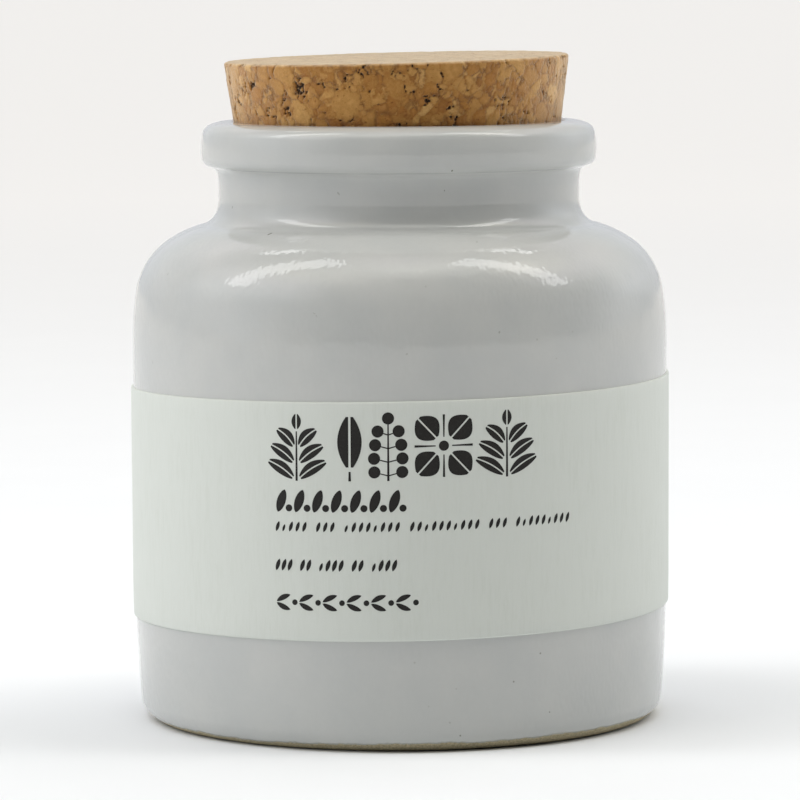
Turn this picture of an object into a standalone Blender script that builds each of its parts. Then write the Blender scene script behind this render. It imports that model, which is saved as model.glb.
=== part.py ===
"""A stoneware mustard jar, shut with a tapered cork and wrapped in a paper label.

Metres, +Z up. The origin is the centre of the foot, on the surface that the jar stands on.
The front, where the label's print is, faces -Y.
"""

import math

import bmesh
import bpy
from mathutils import Euler, Matrix, Vector

MM = 0.001

# Driving dimensions of the jar, in millimetres.
JAR_HEIGHT = 90.9
BODY_RADIUS = 40.66
NECK_RADIUS = 27.42
RIM_RADIUS = 30.14
RIM_DEPTH = 7.05
NECK_FOOT = 75.62

# The foot: a flat unglazed ring round a shallow hollow.
FOOT_INSET = 1.03
FOOT_ROUNDING = 3.5
FOOT_RING_WIDTH = 7.8
FOOT_HOLLOW_DEPTH = 0.9
FOOT_HOLLOW_SLOPE = 1.4

# The cork: a tapered plug, of which the upper part stands proud of the mouth.
CORK_HEIGHT = 20.0
CORK_PROUD = 9.48
CORK_MOUTH_RADIUS = 24.94
CORK_TAPER_DEG = 7.8
CORK_LEAN_DEG = 1.2
CORK_NOD_DEG = 0.45
CORK_EDGE_ROUNDING = 0.45
CORK_FIT_GAP = 0.3
CORK_FLOOR_GAP = 1.0

# The label: a paper band wound round the body at a slight slant, with its ends at the back.
LABEL_HEIGHT = 35.0
LABEL_BOTTOM = 16.65
LABEL_SLANT_DEG = 0.85
LABEL_THICKNESS = 0.14
LABEL_GAP = 0.23
LABEL_END_ANGLE_DEG = 175.0
LABEL_ROWS = 4

# Facets: every round piece has the same sides, in step, so that nested pieces keep their gaps.
SIDES = 72
CHORD_ERROR = 0.035


def section_point(radius, height):
    """A point of a half section, in the plane y = 0."""
    return Vector((radius, 0.0, height))


def rounded(corners):
    """The outline through corners of (radius, height, rounding), each corner an arc."""
    points = [section_point(*corners[0][:2])]
    for before, corner, after in zip(corners, corners[1:], corners[2:]):
        tip = section_point(*corner[:2])
        rounding = corner[2]
        back = (section_point(*before[:2]) - tip).normalized()
        ahead = (section_point(*after[:2]) - tip).normalized()
        turn = math.pi - back.angle(ahead)
        tangent = rounding * math.tan(turn / 2)
        centre = tip + (back + ahead).normalized() * (rounding / math.cos(turn / 2))
        spoke = tip + back * tangent - centre
        axis = spoke.cross(tip + ahead * tangent - centre)
        facet_turn = 2 * math.acos(1 - CHORD_ERROR / rounding)
        steps = math.ceil(turn / facet_turn)
        for step in range(steps + 1):
            points.append(centre + Matrix.Rotation(turn * step / steps, 3, axis) @ spoke)
    points.append(section_point(*corners[-1][:2]))
    return points


def mouth_radius(height):
    """The radius of the mouth at a height: the cork's taper, clear of the cork by the fit gap."""
    at_rim = CORK_MOUTH_RADIUS + CORK_FIT_GAP
    return at_rim - (JAR_HEIGHT - height) * math.tan(math.radians(CORK_TAPER_DEG))


def jar_outline():
    """The jar's half section: from the axis under the foot, up the outside, into the mouth."""
    foot_radius = BODY_RADIUS - FOOT_INSET
    ring_inside = foot_radius - FOOT_RING_WIDTH
    rim_foot = JAR_HEIGHT - RIM_DEPTH
    mouth_floor = JAR_HEIGHT + CORK_PROUD - CORK_HEIGHT - CORK_FLOOR_GAP
    underside = [
        (0.0, FOOT_HOLLOW_DEPTH, 0.0),
        (ring_inside - FOOT_HOLLOW_SLOPE, FOOT_HOLLOW_DEPTH, 1.2),
        (ring_inside, 0.0, 0.6),
    ]
    body = [
        (foot_radius, 0.0, FOOT_ROUNDING),
        (BODY_RADIUS - 0.07, 13.1, 237.0),
        (BODY_RADIUS, NECK_FOOT - 14.22, 49.0),
        (BODY_RADIUS - 1.28, NECK_FOOT - 5.42, 11.4),
        (BODY_RADIUS - 8.09, NECK_FOOT - 1.14, 17.0),
    ]
    neck = [
        (NECK_RADIUS + 0.74, NECK_FOOT, 3.2),
        (NECK_RADIUS, NECK_FOOT + 2.78, 7.2),
        (NECK_RADIUS, rim_foot - 1.95, 13.0),
        (NECK_RADIUS + 0.32, rim_foot, 1.25),
    ]
    rim = [
        (RIM_RADIUS - 0.25, rim_foot + 0.4, 1.45),
        (RIM_RADIUS, JAR_HEIGHT - 3.67, 12.4),
        (RIM_RADIUS - 0.52, JAR_HEIGHT - 0.93, 1.9),
        (RIM_RADIUS - 2.4, JAR_HEIGHT - 0.19, 5.3),
    ]
    mouth = [
        (mouth_radius(JAR_HEIGHT), JAR_HEIGHT, 0.6),
        (mouth_radius(mouth_floor), mouth_floor, 1.0),
        (0.0, mouth_floor, 0.0),
    ]
    return rounded(underside + body + neck + rim + mouth)


def cork_outline():
    """The cork's half section, from the axis at its foot to the axis at its top."""
    top = JAR_HEIGHT + CORK_PROUD
    bottom = top - CORK_HEIGHT
    slope = math.tan(math.radians(CORK_TAPER_DEG))
    bottom_radius = CORK_MOUTH_RADIUS - (JAR_HEIGHT - bottom) * slope
    top_radius = CORK_MOUTH_RADIUS + CORK_PROUD * slope
    corners = [
        (0.0, bottom, 0.0),
        (bottom_radius, bottom, CORK_EDGE_ROUNDING),
        (top_radius, top, CORK_EDGE_ROUNDING),
        (0.0, top, 0.0),
    ]
    return rounded(corners)


def wall_radius(outline, height):
    """The outer radius of the body's wall at a height."""
    wall = [point for point in outline if FOOT_ROUNDING < point.z < NECK_FOOT]
    for lower, upper in zip(wall, wall[1:]):
        if lower.z <= height <= upper.z:
            share = (height - lower.z) / (upper.z - lower.z)
            return lower.x + (upper.x - lower.x) * share
    raise ValueError(f"no wall at height {height}")


def turned(outline):
    """The solid that an outline sweeps round the Z axis."""
    bm = bmesh.new()
    verts = [bm.verts.new(point) for point in outline]
    edges = [bm.edges.new(pair) for pair in zip(verts, verts[1:])]
    origin = (0.0, 0.0, 0.0)
    upright = (0.0, 0.0, 1.0)
    bmesh.ops.spin(bm, geom=verts + edges, cent=origin, axis=upright, angle=math.tau, steps=SIDES)
    bmesh.ops.remove_doubles(bm, verts=bm.verts, dist=0.001)
    return bm


def finished(name, bm, material):
    """The object of a solid drawn in millimetres: faces out, in metres, round parts shaded smooth."""
    bmesh.ops.recalc_face_normals(bm, faces=bm.faces)
    bmesh.ops.scale(bm, vec=(MM, MM, MM), verts=bm.verts)
    mesh = bpy.data.meshes.new(name)
    bm.to_mesh(mesh)
    bm.free()
    mesh.shade_smooth()
    mesh.set_sharp_from_angle(angle=math.radians(35))
    mesh.materials.append(material)
    obj = bpy.data.objects.new(name, mesh)
    bpy.context.scene.collection.objects.link(obj)
    return obj


def plain_material(name, colour, roughness):
    """A Principled material of one colour and roughness."""
    material = bpy.data.materials.new(name)
    material.use_nodes = True
    shader = material.node_tree.nodes["Principled BSDF"]
    shader.inputs["Base Color"].default_value = (*colour, 1.0)
    shader.inputs["Roughness"].default_value = roughness
    shader.inputs["Metallic"].default_value = 0.0
    return material


def make_jar():
    """The stoneware in one piece: foot, wall, shoulder, neck, rim and the mouth that holds the cork."""
    glaze = plain_material("glazed_stoneware", (0.58, 0.59, 0.57), 0.15)
    finished("jar", turned(jar_outline()), glaze)


def make_cork():
    """The cork, pushed in a little askew: it leans to the left and the front about a point in the mouth."""
    granules = plain_material("granulated_cork", (0.52, 0.33, 0.19), 0.85)
    cork = finished("cork", turned(cork_outline()), granules)
    pivot = Vector((0.0, 0.0, (JAR_HEIGHT - CORK_HEIGHT / 4) * MM))
    lean = Euler((math.radians(CORK_NOD_DEG), -math.radians(CORK_LEAN_DEG), 0.0))
    cork.location = pivot - lean.to_matrix() @ pivot
    cork.rotation_euler = lean


def make_label():
    """The paper band: a loop of its cross section at each side of the jar, joined round the front."""
    outline = jar_outline()
    rise = BODY_RADIUS * math.tan(math.radians(LABEL_SLANT_DEG))
    station_count = round(LABEL_END_ANGLE_DEG / 360.0 * SIDES)
    bm = bmesh.new()
    loops = []
    for station in range(-station_count, station_count + 1):
        angle = math.tau * station / SIDES
        bottom = LABEL_BOTTOM + rise * angle
        heights = [bottom + LABEL_HEIGHT * row / LABEL_ROWS for row in range(LABEL_ROWS + 1)]
        inside = [(wall_radius(outline, height) + LABEL_GAP, height) for height in heights]
        outside = [(radius + LABEL_THICKNESS, height) for radius, height in reversed(inside)]
        outward = Vector((math.sin(angle), -math.cos(angle), 0.0))
        loop = [bm.verts.new(outward * radius + Vector((0, 0, z))) for radius, z in inside + outside]
        loops.append(loop)
    for left, right in zip(loops, loops[1:]):
        for i, j in zip(range(len(left)), [*range(1, len(left)), 0]):
            bm.faces.new((left[i], left[j], right[j], right[i]))
    bm.faces.new(loops[0])
    bm.faces.new(loops[-1])
    bmesh.ops.triangulate(bm, faces=bm.faces)
    paper = plain_material("label_paper", (0.70, 0.74, 0.69), 0.7)
    finished("label", bm, paper)


def main():
    for obj in list(bpy.data.objects):
        bpy.data.objects.remove(obj)
    make_jar()
    make_cork()
    make_label()


main()
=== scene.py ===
"""The looks of a stoneware mustard jar: glaze, cork, paper label, light and camera.

Lengths are in millimetres while a shape is worked out, and in metres once it is a mesh.
+Z is up, and the printed front faces -Y. An angle round the jar is 0 at the front and grows to the right.
"""

import math
import random

import bmesh
import bpy
import numpy as np
from mathutils import Euler, Matrix, Vector, kdtree, noise


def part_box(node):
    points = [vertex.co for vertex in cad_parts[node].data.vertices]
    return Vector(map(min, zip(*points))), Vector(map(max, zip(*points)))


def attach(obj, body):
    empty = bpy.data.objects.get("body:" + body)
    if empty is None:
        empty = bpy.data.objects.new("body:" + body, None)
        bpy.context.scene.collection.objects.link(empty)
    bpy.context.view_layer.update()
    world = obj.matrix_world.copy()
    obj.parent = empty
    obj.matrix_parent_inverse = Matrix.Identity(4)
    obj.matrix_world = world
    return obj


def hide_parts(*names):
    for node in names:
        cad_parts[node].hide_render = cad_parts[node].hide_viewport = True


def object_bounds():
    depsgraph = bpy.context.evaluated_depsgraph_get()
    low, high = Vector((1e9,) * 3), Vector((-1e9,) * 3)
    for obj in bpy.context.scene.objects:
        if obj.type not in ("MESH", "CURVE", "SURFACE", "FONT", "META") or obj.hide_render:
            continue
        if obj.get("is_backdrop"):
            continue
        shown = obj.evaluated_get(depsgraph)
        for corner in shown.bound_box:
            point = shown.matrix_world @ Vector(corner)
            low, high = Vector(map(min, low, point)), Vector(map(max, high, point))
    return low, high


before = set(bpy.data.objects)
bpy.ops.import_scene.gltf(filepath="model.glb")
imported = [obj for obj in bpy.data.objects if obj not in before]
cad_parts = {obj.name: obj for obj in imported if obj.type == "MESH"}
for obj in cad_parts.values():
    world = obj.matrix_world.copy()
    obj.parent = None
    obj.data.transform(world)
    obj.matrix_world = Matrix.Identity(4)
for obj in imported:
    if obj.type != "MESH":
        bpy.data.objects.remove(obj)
CAD_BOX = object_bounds()

MM = 0.001
BODY = "root"

# The jar, whose height is the CAD solid's. The rest repeats the CAD source's driving dimensions.
JAR_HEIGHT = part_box("jar")[1].z / MM
BODY_RADIUS = 40.66
NECK_RADIUS = 27.42
RIM_RADIUS = 30.14
RIM_DEPTH = 7.05
NECK_FOOT = 75.62
FOOT_INSET = 1.03
FOOT_ROUNDING = 3.5
FOOT_RING_WIDTH = 7.8
FOOT_HOLLOW_DEPTH = 0.9
FOOT_HOLLOW_SLOPE = 1.4
JAR_SIDES = 360
JAR_CHORD_ERROR = 0.002
JAR_ROW_SPACING = 2.0

# The glaze ends above the foot in an uneven line, higher on the right. Each of its waves has a count, a
# reach and a phase. The clay lies a step lower.
GLAZE_LINE_HEIGHT = 1.18
GLAZE_LINE_TILT = 0.36
GLAZE_LINE_WAVES = ((3, 0.10, 1.0), (7, 0.07, 2.0), (13, 0.05, 0.4), (29, 0.04, 2.2), (47, 0.03, 4.0))
GLAZE_STEP = 0.1
GLAZE_STEP_WIDTH = 0.16
GLAZE_STEP_LOWEST = 0.4
GLAZE_EDGE_REACH = 2.0

# Rows stand closer at the foot's outer edge. The bare underside is what lies further in.
FINE_FOOT_WIDTH = 3.0
FINE_FOOT_HEIGHT = 2.4
FINE_FOOT_SPACING = 0.12
UNDERSIDE_INSET = 4.5
UNDERSIDE_HEIGHT = 5.0

# The cork.
CORK_HEIGHT = 20.0
CORK_PROUD = 9.48
CORK_MOUTH_RADIUS = 24.94
CORK_TAPER_DEG = 7.8
CORK_LEAN_DEG = 1.2
CORK_NOD_DEG = 0.45
CORK_FIT_GAP = 0.3
CORK_FLOOR_GAP = 1.0

# The label.
LABEL_HEIGHT = 35.0
LABEL_BOTTOM = 16.65
LABEL_SLANT_DEG = 0.85
LABEL_RELIEF = 0.34
LABEL_END_ANGLE_DEG = 175.0


# Meshes


class Draft:
    """A mesh in the making: points in millimetres, and faces."""

    def __init__(self):
        self.points = []
        self.faces = []

    def ring(self, points):
        """Adds a closed ring of points and returns their numbers."""
        first = len(self.points)
        self.points.extend(map(tuple, points))
        return list(range(first, len(self.points)))

    def bridge(self, lower, upper):
        """Faces between two closed rings, of which one may have half as many points as the other."""
        if len(upper) == len(lower):
            for i in range(len(lower)):
                j = (i + 1) % len(lower)
                self.faces.append((lower[i], lower[j], upper[j], upper[i]))
            return
        flipped = len(lower) < len(upper)
        coarse, fine = (lower, upper) if flipped else (upper, lower)
        for i in range(len(coarse)):
            j = (i + 1) % len(coarse)
            left, middle, right = fine[2 * i], fine[2 * i + 1], fine[(2 * i + 2) % len(fine)]
            faces = [(left, middle, coarse[i]), (middle, coarse[j], coarse[i]), (middle, right, coarse[j])]
            self.faces.extend(tuple(reversed(face)) if flipped else face for face in faces)

    def skin(self, rings):
        """Faces between each ring and the next."""
        for lower, upper in zip(rings, rings[1:]):
            self.bridge(lower, upper)

    def fan(self, ring, tip, upwards=True):
        """Closes a ring with triangles to one more point."""
        centre = len(self.points)
        self.points.append(tuple(tip))
        for i, point in enumerate(ring):
            after = ring[(i + 1) % len(ring)]
            self.faces.append((point, after, centre) if upwards else (after, point, centre))

    def mesh(self, name):
        """The finished mesh, in metres and shaded smooth."""
        mesh = bpy.data.meshes.new(name)
        mesh.from_pydata([(x * MM, y * MM, z * MM) for x, y, z in self.points], [], self.faces)
        mesh.shade_smooth()
        return mesh


def add_piece(mesh, material, replaced=None):
    """Puts a finished mesh in the scene as a piece of the jar."""
    mesh.materials.append(material)
    piece = bpy.data.objects.new(mesh.name, mesh)
    bpy.context.scene.collection.objects.link(piece)
    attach(piece, BODY)
    if replaced:
        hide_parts(replaced)


def add_attribute(mesh, name, values):
    """One number, or one colour, for each point of a mesh."""
    values = np.asarray(values, dtype=np.float32)
    if values.ndim == 1:
        attribute = mesh.attributes.new(name, "FLOAT", "POINT")
        attribute.data.foreach_set("value", values)
    else:
        attribute = mesh.attributes.new(name, "FLOAT_COLOR", "POINT")
        opaque = np.concatenate([values, np.ones((len(values), 1), np.float32)], axis=1)
        attribute.data.foreach_set("color", opaque.ravel())


def on_circle(radius, height, sides):
    """Points round the axis, counter-clockwise from above, starting at the back."""
    angles = np.linspace(0.0, math.tau, sides, endpoint=False)
    return np.stack([-radius * np.sin(angles), radius * np.cos(angles), np.full(sides, height)], axis=1)


# Outlines, each a half section of (radius, height)


def rounded(corners, chord_error):
    """The outline through corners of (radius, height, rounding), each corner an arc."""
    points = [Vector(corners[0][:2])]
    for before, corner, after in zip(corners, corners[1:], corners[2:]):
        tip = Vector(corner[:2])
        rounding = corner[2]
        back = (Vector(before[:2]) - tip).normalized()
        ahead = (Vector(after[:2]) - tip).normalized()
        turn = math.pi - back.angle(ahead)
        tangent = rounding * math.tan(turn / 2)
        centre = tip + (back + ahead).normalized() * (rounding / math.cos(turn / 2))
        spoke = tip + back * tangent - centre
        side = 1.0 if back.x * ahead.y - back.y * ahead.x < 0 else -1.0
        steps = math.ceil(turn / (2 * math.acos(1 - chord_error / rounding)))
        for step in range(steps + 1):
            points.append(centre + Matrix.Rotation(side * turn * step / steps, 2) @ spoke)
    points.append(Vector(corners[-1][:2]))
    return points


def with_rows(outline, spacing):
    """The outline with more points, none further apart than the spacing."""
    points = [outline[0]]
    for start, end in zip(outline, outline[1:]):
        steps = max(1, math.ceil((end - start).length / spacing))
        points.extend(start.lerp(end, step / steps) for step in range(1, steps + 1))
    return points


def mouth_radius(height):
    """The radius of the mouth at a height: the cork's taper, clear of the cork by the fit gap."""
    at_rim = CORK_MOUTH_RADIUS + CORK_FIT_GAP
    return at_rim - (JAR_HEIGHT - height) * math.tan(math.radians(CORK_TAPER_DEG))


def jar_outline():
    """The jar's half section: from the axis under the foot, up the outside, into the mouth."""
    foot_radius = BODY_RADIUS - FOOT_INSET
    ring_inside = foot_radius - FOOT_RING_WIDTH
    rim_foot = JAR_HEIGHT - RIM_DEPTH
    mouth_floor = JAR_HEIGHT + CORK_PROUD - CORK_HEIGHT - CORK_FLOOR_GAP
    corners = [
        (0.0, FOOT_HOLLOW_DEPTH, 0.0),
        (ring_inside - FOOT_HOLLOW_SLOPE, FOOT_HOLLOW_DEPTH, 1.2),
        (ring_inside, 0.0, 0.6),
        (foot_radius, 0.0, FOOT_ROUNDING),
        (BODY_RADIUS - 0.07, 13.1, 237.0),
        (BODY_RADIUS, NECK_FOOT - 14.22, 49.0),
        (BODY_RADIUS - 1.28, NECK_FOOT - 5.42, 11.4),
        (BODY_RADIUS - 8.09, NECK_FOOT - 1.14, 17.0),
        (NECK_RADIUS + 0.74, NECK_FOOT, 3.2),
        (NECK_RADIUS, NECK_FOOT + 2.78, 7.2),
        (NECK_RADIUS, rim_foot - 1.95, 13.0),
        (NECK_RADIUS + 0.32, rim_foot, 1.25),
        (RIM_RADIUS - 0.25, rim_foot + 0.4, 1.45),
        (RIM_RADIUS, JAR_HEIGHT - 3.67, 12.4),
        (RIM_RADIUS - 0.52, JAR_HEIGHT - 0.93, 1.9),
        (RIM_RADIUS - 2.4, JAR_HEIGHT - 0.19, 5.3),
        (mouth_radius(JAR_HEIGHT), JAR_HEIGHT, 0.6),
        (mouth_radius(mouth_floor), mouth_floor, 1.0),
        (0.0, mouth_floor, 0.0),
    ]
    return rounded(corners, JAR_CHORD_ERROR)


def wall_radius(outline, height):
    """The outer radius of the body's wall at a height."""
    wall = [point for point in outline if FOOT_ROUNDING < point.y < NECK_FOOT]
    heights = [point.y for point in wall]
    return float(np.interp(height, heights, [point.x for point in wall]))


# Materials


def node(tree, kind, inputs=None, **settings):
    """A shader node. An input is given a value, or a socket that it is linked to."""
    made = tree.nodes.new(kind)
    for name, value in settings.items():
        setattr(made, name, value)
    for name, value in (inputs or {}).items():
        if isinstance(value, bpy.types.NodeSocket):
            tree.links.new(value, made.inputs[name])
        else:
            made.inputs[name].default_value = value
    return made


def calculate(tree, operation, first, second=0.0):
    """The result of a Math node."""
    return node(tree, "ShaderNodeMath", {0: first, 1: second}, operation=operation).outputs[0]


def feed(tree, socket, value):
    """Links an input to another node's output, or sets it to a number or a colour of three channels."""
    if isinstance(value, bpy.types.NodeSocket):
        tree.links.new(value, socket)
    else:
        socket.default_value = (*value, 1.0) if isinstance(value, tuple) else value


def blend(tree, factor, first, second, mode="MIX"):
    """The result of mixing two colours."""
    made = node(tree, "ShaderNodeMix", data_type="RGBA", blend_type=mode)
    for number, value in ((0, factor), (6, first), (7, second)):
        feed(tree, made.inputs[number], value)
    return made.outputs[2]


def remap(tree, value, low, high, new_low=0.0, new_high=1.0, smooth=False):
    """The value, with the stretch from low to high mapped to a new one."""
    inputs = {0: value, 1: low, 2: high, 3: new_low, 4: new_high}
    kind = "SMOOTHSTEP" if smooth else "LINEAR"
    return node(tree, "ShaderNodeMapRange", inputs, interpolation_type=kind).outputs[0]


def place(tree, stretch=(1.0, 1.0, 1.0)):
    """The point being shaded, in millimetres, stretched along the axes."""
    coordinates = node(tree, "ShaderNodeTexCoord").outputs["Object"]
    scale = tuple(factor / MM for factor in stretch)
    return node(tree, "ShaderNodeMapping", {"Vector": coordinates, "Scale": scale}).outputs[0]


def noise_value(tree, point, size, detail=2.0, rough=0.5):
    """Noise from 0 to 1 whose blobs are about size millimetres across."""
    inputs = {"Vector": point, "Scale": 1.0 / size, "Detail": detail, "Roughness": rough}
    return node(tree, "ShaderNodeTexNoise", inputs).outputs[0]


def attribute(tree, name, output="Fac"):
    return node(tree, "ShaderNodeAttribute", attribute_name=name).outputs[output]


def bump(tree, height, depth, normal=None):
    """A normal tilted by relief: height from 0 to 1 stands for depth millimetres."""
    inputs = {"Height": height, "Distance": depth * MM, "Strength": 1.0}
    if normal:
        inputs["Normal"] = normal
    return node(tree, "ShaderNodeBump", inputs).outputs[0]


def new_material(name):
    """An empty material, as its node tree and its Principled shader."""
    material = bpy.data.materials.new(name)
    material.use_nodes = True
    tree = material.node_tree
    return material, tree, tree.nodes["Principled BSDF"]


def connect(tree, shader, **sockets):
    """Sets the shader's inputs, named with _ for a space."""
    for name, value in sockets.items():
        feed(tree, shader.inputs[name.replace("_", " ")], value)


GLAZE = (0.558, 0.566, 0.548)
GLAZE_SHADE = (0.528, 0.541, 0.529)
GLAZE_MOTTLE = (0.482, 0.492, 0.472)
THIN_GLAZE = (0.30, 0.29, 0.25)
BARE_CLAY = (0.56, 0.485, 0.315)
BARE_CLAY_DARK = (0.27, 0.235, 0.15)
GLAZE_ROUGHNESS = 0.05
CLAY_ROUGHNESS = 0.9
GLAZE_IOR = 1.5

# Depths of the jar's relief. The finest, the peel, fades to a share of its depth on the neck.
THROWING_DEPTH = 0.05
DIMPLE_DEPTH = 0.05
PEEL_DEPTH = 0.027
PEEL_FADE_HEIGHT = 3.0
PEEL_ON_NECK = 0.25
CLAY_GRIT_DEPTH = 0.12
GLAZE_LIP_DEPTH = 0.07


def jar_relief(tree, point, clay_grit, edge):
    """The normal of the jar: broad throwing marks, dimples, fine peel, gritty clay and the glaze's lip."""
    throwing = noise_value(tree, place(tree, (1.0, 1.0, 0.3)), 9.0, 1.0)
    dimples = noise_value(tree, point, 5.0, 2.0)
    height = node(tree, "ShaderNodeSeparateXYZ", {0: point}).outputs[2]
    fade = remap(tree, height, NECK_FOOT - PEEL_FADE_HEIGHT, NECK_FOOT, 1.0, PEEL_ON_NECK)
    peel = noise_value(tree, place(tree, (1.0, 1.0, 0.5)), 0.6, 0.0)
    normal = bump(tree, throwing, THROWING_DEPTH)
    normal = bump(tree, dimples, DIMPLE_DEPTH, normal)
    normal = bump(tree, calculate(tree, "MULTIPLY", peel, fade), PEEL_DEPTH, normal)
    normal = bump(tree, clay_grit, CLAY_GRIT_DEPTH, normal)
    return bump(tree, remap(tree, edge, -0.05, 0.2, smooth=True), GLAZE_LIP_DEPTH, normal)


def glaze_material():
    """Glossy pale grey glaze, and bare stoneware where it ends."""
    material, tree, shader = new_material("stoneware_glaze")
    point = place(tree)
    clouds = remap(tree, noise_value(tree, point, 9.0, 3.0), 0.35, 0.65)
    mottle = noise_value(tree, point, 0.7, 2.0)
    glaze = blend(tree, clouds, GLAZE, GLAZE_SHADE)
    glaze = blend(tree, remap(tree, mottle, 0.3, 0.7, 0.0, 0.10), glaze, GLAZE_MOTTLE)
    grit = noise_value(tree, point, 0.35, 3.0, 0.7)
    ragged = remap(tree, noise_value(tree, point, 1.1, 3.0, 0.6), 0.3, 0.7, -0.16, 0.16)
    edge = calculate(tree, "ADD", attribute(tree, "glaze_edge"), ragged)
    bare = remap(tree, edge, -0.04, 0.04, 1.0, 0.0)
    clay = blend(tree, remap(tree, grit, 0.35, 0.7), BARE_CLAY, BARE_CLAY_DARK)
    glaze = blend(tree, remap(tree, edge, 0.0, 0.28, 0.45, 0.0), glaze, THIN_GLAZE)
    roughness = remap(tree, bare, 0.0, 1.0, GLAZE_ROUGHNESS, CLAY_ROUGHNESS)
    normal = jar_relief(tree, point, calculate(tree, "MULTIPLY", grit, bare), edge)
    connect(tree, shader, Base_Color=blend(tree, bare, glaze, clay), Roughness=roughness, Normal=normal)
    connect(tree, shader, IOR=GLAZE_IOR)
    return material


PAPER = (0.700, 0.731, 0.685)
PAPER_THREAD = (0.640, 0.672, 0.615)
PAPER_FIBRE = (0.611, 0.636, 0.577)
UPRIGHT_THREADS = (1.0, 1.0, 0.11)
THREAD_DEPTH = 0.015
FIBRE_DEPTH = 0.008


def paper_material():
    """Pale laid paper with fine upright lines."""
    material, tree, shader = new_material("laid_paper")
    point = place(tree)
    upright = place(tree, UPRIGHT_THREADS)
    lines = noise_value(tree, upright, 0.25, 2.0)
    broad = noise_value(tree, upright, 0.8, 2.0)
    fibre = noise_value(tree, point, 0.18, 3.0)
    patches = noise_value(tree, point, 7.0, 2.0)
    threads = calculate(tree, "MULTIPLY", calculate(tree, "ADD", lines, broad), 0.5)
    shown = remap(tree, patches, 0.35, 0.65, 0.35, 1.0)
    marks = calculate(tree, "MULTIPLY", remap(tree, threads, 0.45, 0.64, 0.0, 0.5), shown)
    colour = blend(tree, marks, PAPER, PAPER_THREAD)
    colour = blend(tree, remap(tree, fibre, 0.3, 0.7, 0.0, 0.12), colour, PAPER_FIBRE)
    normal = bump(tree, threads, THREAD_DEPTH)
    normal = bump(tree, fibre, FIBRE_DEPTH, normal)
    connect(tree, shader, Base_Color=colour, Roughness=0.62, Normal=normal, Specular_IOR_Level=0.35)
    return material


INK = (0.013, 0.0115, 0.01)
WORN_INK = (0.05, 0.046, 0.042)
INK_DEPTH = 0.006


def ink_material():
    """Dark printing ink, a little worn by the paper's grain."""
    material, tree, shader = new_material("printing_ink")
    point = place(tree)
    wear = noise_value(tree, point, 0.25, 3.0)
    colour = blend(tree, remap(tree, wear, 0.5, 0.8, 0.0, 0.35), INK, WORN_INK)
    normal = bump(tree, wear, INK_DEPTH)
    connect(tree, shader, Base_Color=colour, Roughness=0.5, Normal=normal, Specular_IOR_Level=0.3)
    return material


CORK_SEAM = (0.15, 0.062, 0.017)
# The voids' near-black colour is painted shade, on top of the shade of their recess in the mesh.
CORK_VOID_PAINTED_SHADE = (0.06, 0.03, 0.014)
CORK_SHEEN = (1.0, 0.91, 0.74)

# A granule's colour is multiplied by these in dark grain, near a seam and in a pit. The light is added.
GRAIN_SHADE = (0.70, 0.60, 0.48)
PRESSED_SHADE = (0.72, 0.60, 0.45)
PIT_SHADE = (0.50, 0.37, 0.24)
PORE_LIGHT = (0.11, 0.070, 0.030)

GRAIN_DEPTH = 0.05
PORE_DEPTH = 0.08
SEAM_LINE_DEPTH = 0.04


def cork_material():
    """Pressed cork: granules, seams and voids are on the mesh, and the fine grain is added here."""
    material, tree, shader = new_material("pressed_cork")
    point = place(tree)
    grain = noise_value(tree, point, 0.20, 4.0, 0.7)
    pores = noise_value(tree, point, 0.8, 4.0, 0.65)
    patches = noise_value(tree, point, 2.0, 3.0)
    seam = attribute(tree, "seam")
    void = attribute(tree, "void")
    ragged = calculate(tree, "ADD", seam, remap(tree, grain, 0.3, 0.7, -0.05, 0.05))
    line = remap(tree, ragged, 0.0, 0.13, 1.0, 0.0, smooth=True)
    line = calculate(tree, "MULTIPLY", line, remap(tree, patches, 0.42, 0.64, 0.0, 0.7))
    pressed = remap(tree, ragged, 0.0, 0.38, 1.0, 0.0, smooth=True)
    pressed = calculate(tree, "MULTIPLY", pressed, remap(tree, pores, 0.38, 0.62, 0.0, 0.95))
    colour = attribute(tree, "granules", "Color")
    darker = blend(tree, 1.0, colour, GRAIN_SHADE, "MULTIPLY")
    colour = blend(tree, remap(tree, grain, 0.40, 0.70, 0.0, 0.7), colour, darker)
    lighter = blend(tree, 1.0, colour, PORE_LIGHT, "ADD")
    colour = blend(tree, remap(tree, pores, 0.45, 0.66, 0.0, 0.8), colour, lighter)
    browner = blend(tree, 1.0, colour, PRESSED_SHADE, "MULTIPLY")
    colour = blend(tree, pressed, colour, browner)
    pits = remap(tree, noise_value(tree, point, 0.7, 2.0, 0.6), 0.63, 0.72, 0.0, 0.75)
    colour = blend(tree, pits, colour, blend(tree, 1.0, colour, PIT_SHADE, "MULTIPLY"))
    colour = blend(tree, line, colour, CORK_SEAM)
    # Painted shade: the voids are recessed in the mesh, and are also coloured near black.
    colour = blend(tree, remap(tree, void, 0.1, 0.55, smooth=True), colour, CORK_VOID_PAINTED_SHADE)
    normal = bump(tree, grain, GRAIN_DEPTH)
    normal = bump(tree, pores, PORE_DEPTH, normal)
    normal = bump(tree, calculate(tree, "SUBTRACT", 1.0, line), SEAM_LINE_DEPTH, normal)
    connect(tree, shader, Base_Color=colour, Roughness=0.85, Normal=normal, Specular_IOR_Level=0.2)
    connect(tree, shader, Sheen_Weight=1.0, Sheen_Roughness=0.45, Sheen_Tint=CORK_SHEEN)
    return material


# The jar


def glaze_line(angle):
    """The height at which the glaze ends, round the jar."""
    height = GLAZE_LINE_HEIGHT + GLAZE_LINE_TILT * np.sin(angle)
    for count, reach, phase in GLAZE_LINE_WAVES:
        height = height + reach * np.sin(count * angle + phase)
    return height


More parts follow.
